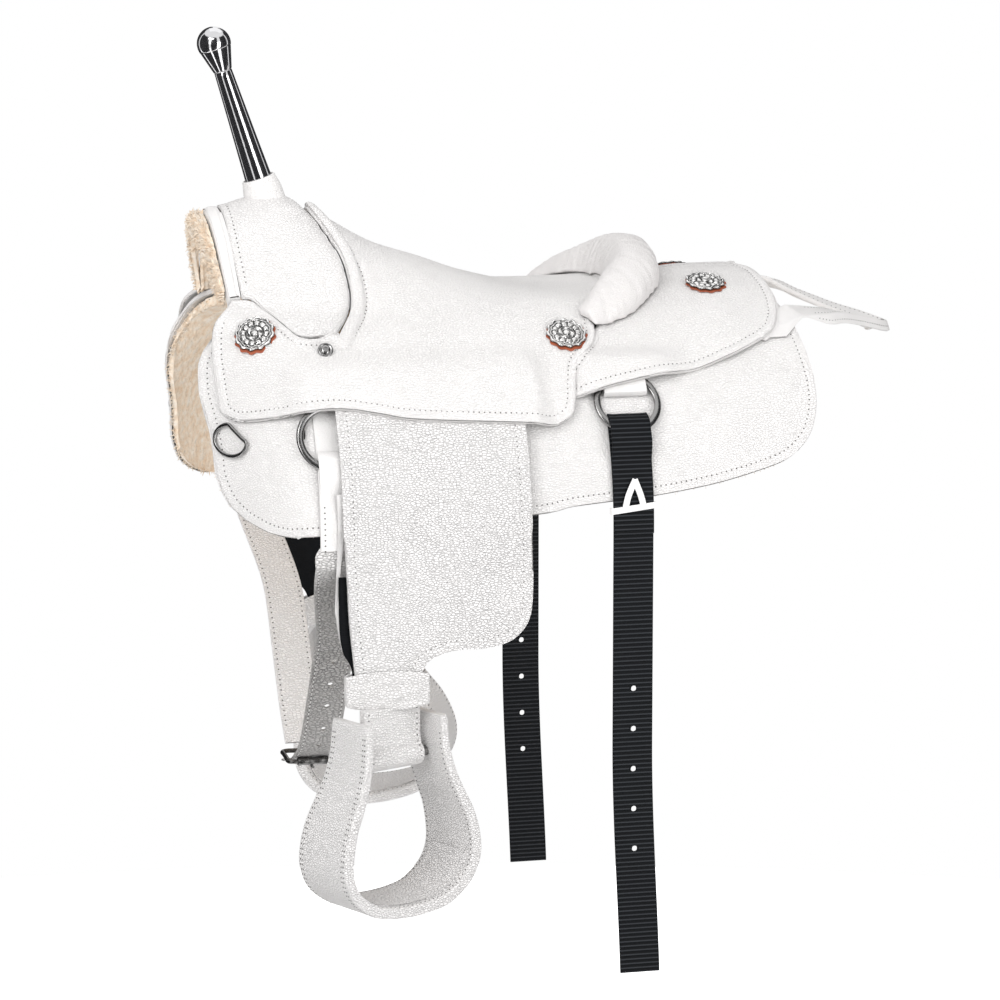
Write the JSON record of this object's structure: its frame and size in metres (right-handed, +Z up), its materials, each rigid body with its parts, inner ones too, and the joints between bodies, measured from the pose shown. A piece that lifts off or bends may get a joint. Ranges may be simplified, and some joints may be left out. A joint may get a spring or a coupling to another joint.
{
  "type": "trick riding saddle",
  "caption": "Western trick riding saddle in white leather, with a tall ball horn, low cantle roll, rear hand hold, fleece lined skirts, leather covered stirrups and girth straps.",
  "frame": {"origin": "middle of the line over the horse's back that the pads straddle, half way along the seat", "axes": "+X towards the horse's tail, +Y to the far side, +Z up; the near side is -Y and the horn is at -X"},
  "size_m": [0.7935, 0.6472, 0.9867],
  "materials": {
    "white_leather": "pebbled grain, smooth coated, satin",
    "soft_leather": "soft, stretched into fine wrinkles, satin",
    "girth_leather": "creased strap leather, matt",
    "fleece": "curly sheepskin, matt",
    "black_nylon": "ribbed webbing, matt",
    "horn_steel": "dark, polished",
    "ring_steel": "satin",
    "concho_silver": "engraved, bright",
    "tree_wood": "bare",
    "tree_steel": "bare sheet"
  },
  "bodies": {
    "saddle": {"near_skirt": "white_leather", "far_skirt": "white_leather", "near_fleece": "fleece", "far_fleece": "fleece", "near_tree_bar": "tree_wood", "far_tree_bar": "tree_wood", "fork_block": "tree_wood", "ground_seat": "tree_steel", "cantle_block": "tree_wood", "seat_cover": "white_leather", "swell_cover": "white_leather", "gullet_binding": "white_leather", "gullet_fleece": "fleece", "near_rear_jockey": "white_leather", "far_rear_jockey": "white_leather", "cantle_roll": "soft_leather", "rear_hand_hold": "white_leather", "horn_post": "horn_steel", "horn_ball": "horn_steel", "horn_collar": "white_leather", "near_rear_ring_tab": "white_leather", "far_rear_ring_tab": "white_leather", "near_billet_loop": "black_nylon", "far_billet_loop": "black_nylon", "near_girth_loop": "girth_leather", "far_girth_loop": "girth_leather", "near_fender_top": "white_leather", "far_fender_top": "white_leather", "near_front_concho": "concho_silver", "near_middle_concho": "concho_silver", "near_rear_concho": "concho_silver", "far_front_concho": "concho_silver", "far_middle_concho": "concho_silver", "far_rear_concho": "concho_silver"},
    "near_fender_body": {"near_fender": "white_leather", "near_stirrup_leather": "black_nylon", "near_hobble_strap": "white_leather"},
    "near_tail_body": {"near_fender_tail": "white_leather"},
    "near_stirrup_body": {"near_stirrup": "white_leather", "near_stirrup_bolt": "ring_steel"},
    "near_front_ring_body": {"near_front_ring": "ring_steel"},
    "near_rear_ring_body": {"near_rear_ring": "ring_steel"},
    "near_billet_body": {"near_rear_billet": "black_nylon"},
    "near_dee_body": {"near_dee": "ring_steel"},
    "far_fender_body": {"far_fender": "white_leather", "far_stirrup_leather": "black_nylon", "far_hobble_strap": "white_leather"},
    "far_tail_body": {"far_fender_tail": "white_leather"},
    "far_stirrup_body": {"far_stirrup": "white_leather", "far_stirrup_bolt": "ring_steel"},
    "far_front_ring_body": {"far_front_ring": "ring_steel"},
    "far_rear_ring_body": {"far_rear_ring": "ring_steel"},
    "far_billet_body": {"far_rear_billet": "black_nylon"},
    "far_dee_body": {"far_dee": "ring_steel"},
    "girth_body": {"near_girth_strap": "girth_leather", "far_girth_strap": "girth_leather", "girth_buckle": "ring_steel"},
    "roller_body": {"buckle_roller": "ring_steel"},
    "tongue_body": {"buckle_tongue": "ring_steel"}
  },
  "joints": [
    {"name": "near_fender_swing", "type": "hinge", "parent": "saddle", "child": "near_fender_body", "pos_m": [-0.0865, -0.2495, -0.13], "axis": [0, 1, 0], "range_deg": [-16, 25]},
    {"name": "near_tail_twist", "type": "hinge", "parent": "near_fender_body", "child": "near_tail_body", "pos_m": [-0.137, -0.2495, -0.386], "axis": [0, 0, 1], "range_deg": [-60, 25]},
    {"name": "near_stirrup_pivot", "type": "hinge", "parent": "near_tail_body", "child": "near_stirrup_body", "pos_m": [-0.137, -0.2495, -0.4385], "axis": [-0.9063, -0.4226, 0], "range_deg": [-25, 25]},
    {"name": "near_front_ring_turn", "type": "hinge", "parent": "saddle", "child": "near_front_ring_body", "pos_m": [-0.19, -0.21693, -0.11025], "axis": [0, -0.9179, 0.3968], "continuous": true},
    {"name": "near_rear_ring_turn", "type": "hinge", "parent": "saddle", "child": "near_rear_ring_body", "pos_m": [0.1272, -0.2034, -0.08705], "axis": [0, -0.8141, 0.5807], "continuous": true},
    {"name": "near_billet_swing", "type": "hinge", "parent": "saddle", "child": "near_billet_body", "pos_m": [0.125, -0.2372, -0.215], "axis": [-1, 0, 0], "range_deg": [-5, 35]},
    {"name": "near_dee_hinge", "type": "hinge", "parent": "saddle", "child": "near_dee_body", "pos_m": [-0.27635, -0.15906, -0.11161], "axis": [-0.4542, 0.722, 0.522], "range_deg": [0, 100]},
    {"name": "far_fender_swing", "type": "hinge", "parent": "saddle", "child": "far_fender_body", "pos_m": [-0.0865, 0.2495, -0.13], "axis": [0, 1, 0], "range_deg": [-3, 38]},
    {"name": "far_tail_twist", "type": "hinge", "parent": "far_fender_body", "child": "far_tail_body", "pos_m": [-0.07812, 0.2495, -0.3908], "axis": [-0.225, 0, 0.9744], "range_deg": [-25, 60]},
    {"name": "far_stirrup_pivot", "type": "hinge", "parent": "far_tail_body", "child": "far_stirrup_body", "pos_m": [-0.06631, 0.2495, -0.44195], "axis": [-0.8831, 0.4226, -0.2039], "range_deg": [-25, 25]},
    {"name": "far_front_ring_turn", "type": "hinge", "parent": "saddle", "child": "far_front_ring_body", "pos_m": [-0.19, 0.21693, -0.11025], "axis": [0, 0.9179, 0.3968], "continuous": true},
    {"name": "far_rear_ring_turn", "type": "hinge", "parent": "saddle", "child": "far_rear_ring_body", "pos_m": [0.1272, 0.2034, -0.08705], "axis": [0, 0.8141, 0.5807], "continuous": true},
    {"name": "far_billet_swing", "type": "hinge", "parent": "saddle", "child": "far_billet_body", "pos_m": [0.125, 0.2372, -0.215], "axis": [1, 0, 0], "range_deg": [-5, 35]},
    {"name": "far_dee_hinge", "type": "hinge", "parent": "saddle", "child": "far_dee_body", "pos_m": [-0.27635, 0.15906, -0.11161], "axis": [0.4542, 0.722, -0.522], "range_deg": [0, 100]},
    {"name": "girth_swing", "type": "hinge", "parent": "saddle", "child": "girth_body", "pos_m": [-0.19, 0, -0.235], "axis": [0, 1, 0], "range_deg": [-20, 20]},
    {"name": "roller_turn", "type": "hinge", "parent": "girth_body", "child": "roller_body", "pos_m": [-0.171, -0.0147, -0.495], "axis": [1, 0, 0], "continuous": true},
    {"name": "tongue_pivot", "type": "hinge", "parent": "girth_body", "child": "tongue_body", "pos_m": [-0.171, 0.025, -0.492], "axis": [1, 0, 0], "range_deg": [0, 95]}
  ]
}
